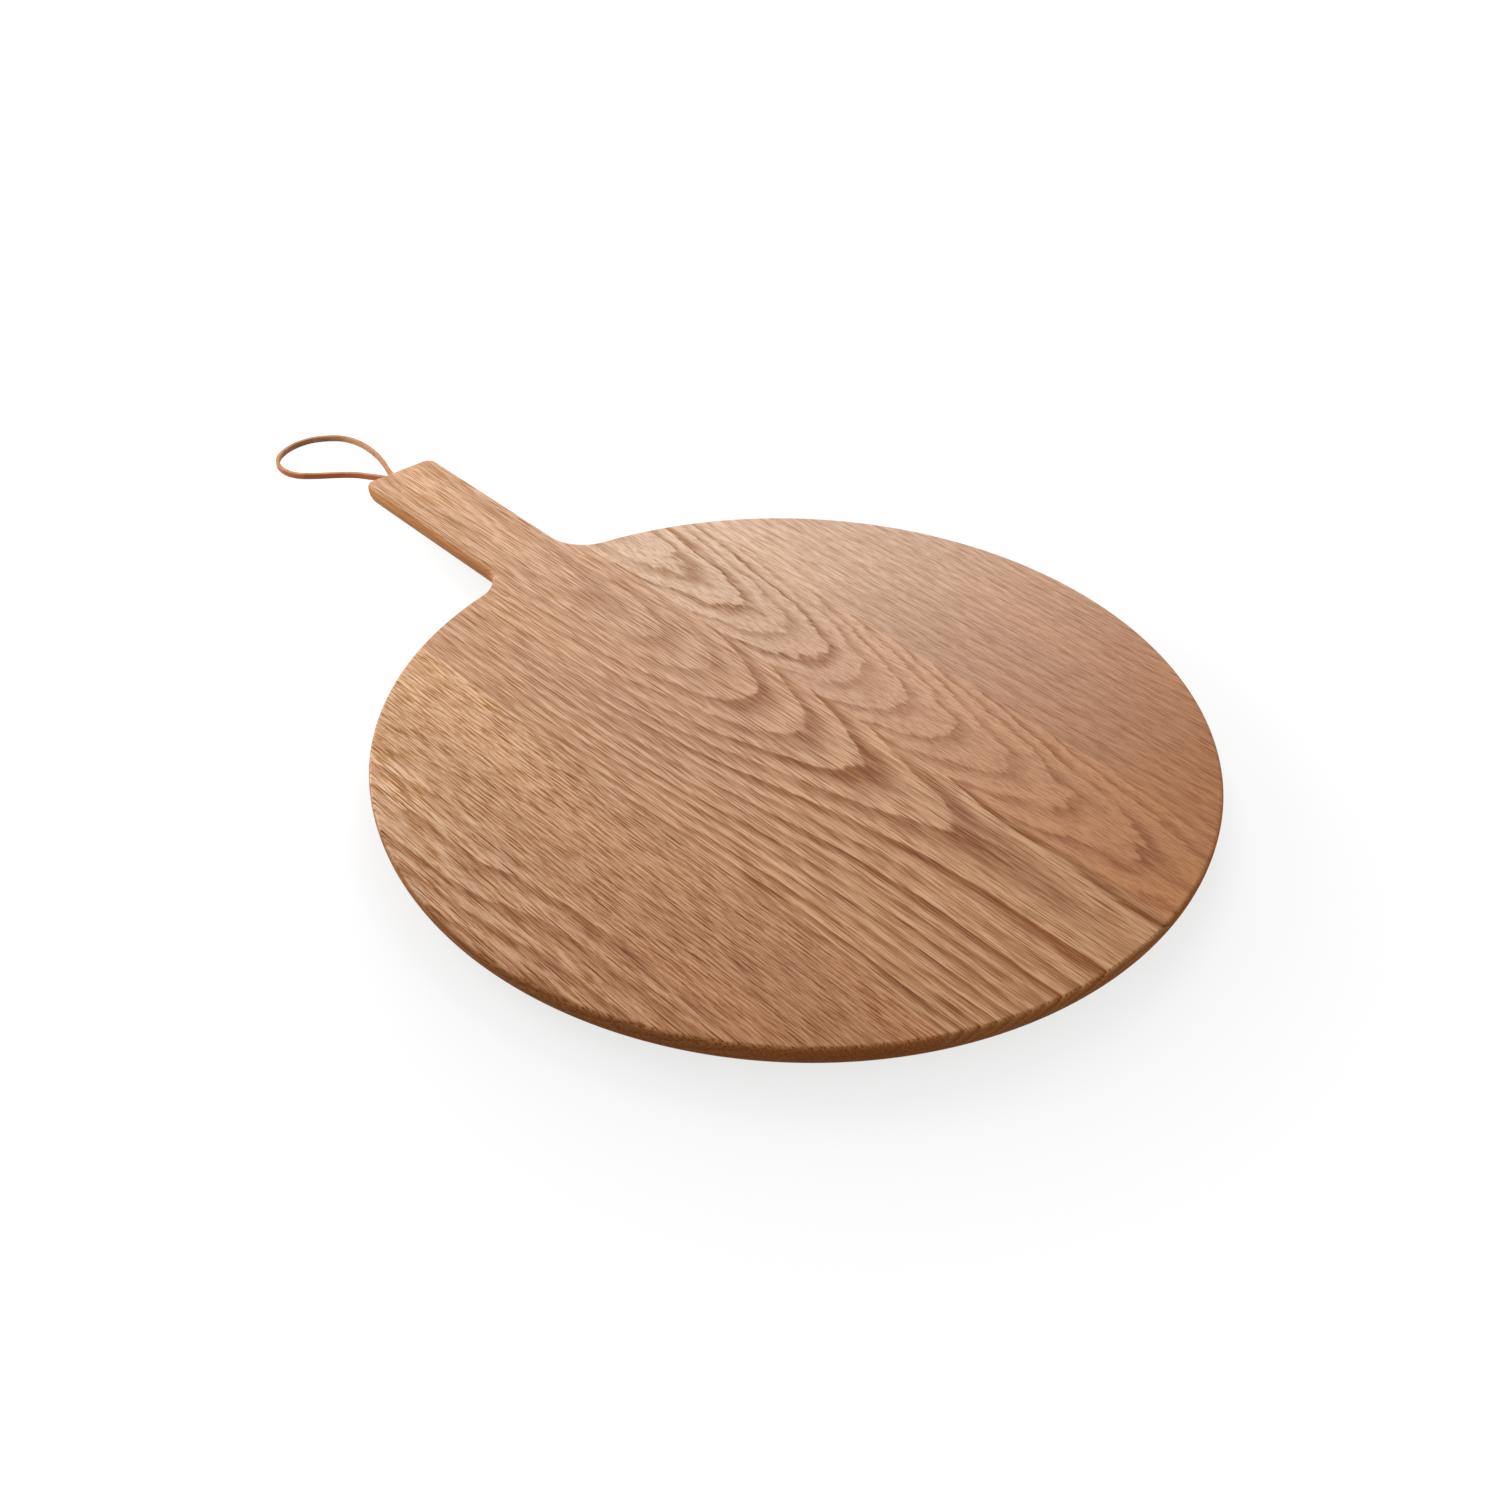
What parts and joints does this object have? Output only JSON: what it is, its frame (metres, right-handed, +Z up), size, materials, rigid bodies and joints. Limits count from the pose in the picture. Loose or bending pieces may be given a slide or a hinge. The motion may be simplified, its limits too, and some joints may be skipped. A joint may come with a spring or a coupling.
{
  "type": "round cutting board",
  "caption": "Round oak cutting and serving board with a straight handle, an undercut rim and a leather hanging loop in the handle's end.",
  "frame": {"origin": "centre of the disc on the underside", "axes": "+Z up out of the serving face, -X along the handle, grain along X"},
  "size_m": [0.5457, 0.35, 0.015],
  "materials": {
    "oak": "oiled, satin",
    "leather": "vegetable-tanned, smooth, cut edges"
  },
  "bodies": {
    "board": {"edge_stave_left": "oak", "inner_stave_left": "oak", "handle_stave": "oak", "inner_stave_right": "oak", "edge_stave_right": "oak", "thong_tail_left": "leather", "thong_tail_right": "leather"},
    "loop": {"thong_loop": "leather"}
  },
  "joints": [
    {"name": "loop_lift", "type": "hinge", "parent": "board", "child": "loop", "pos_m": [-0.2938, 0, 0.0075], "axis": [0, 1, 0], "range_deg": [-75, 75]}
  ]
}
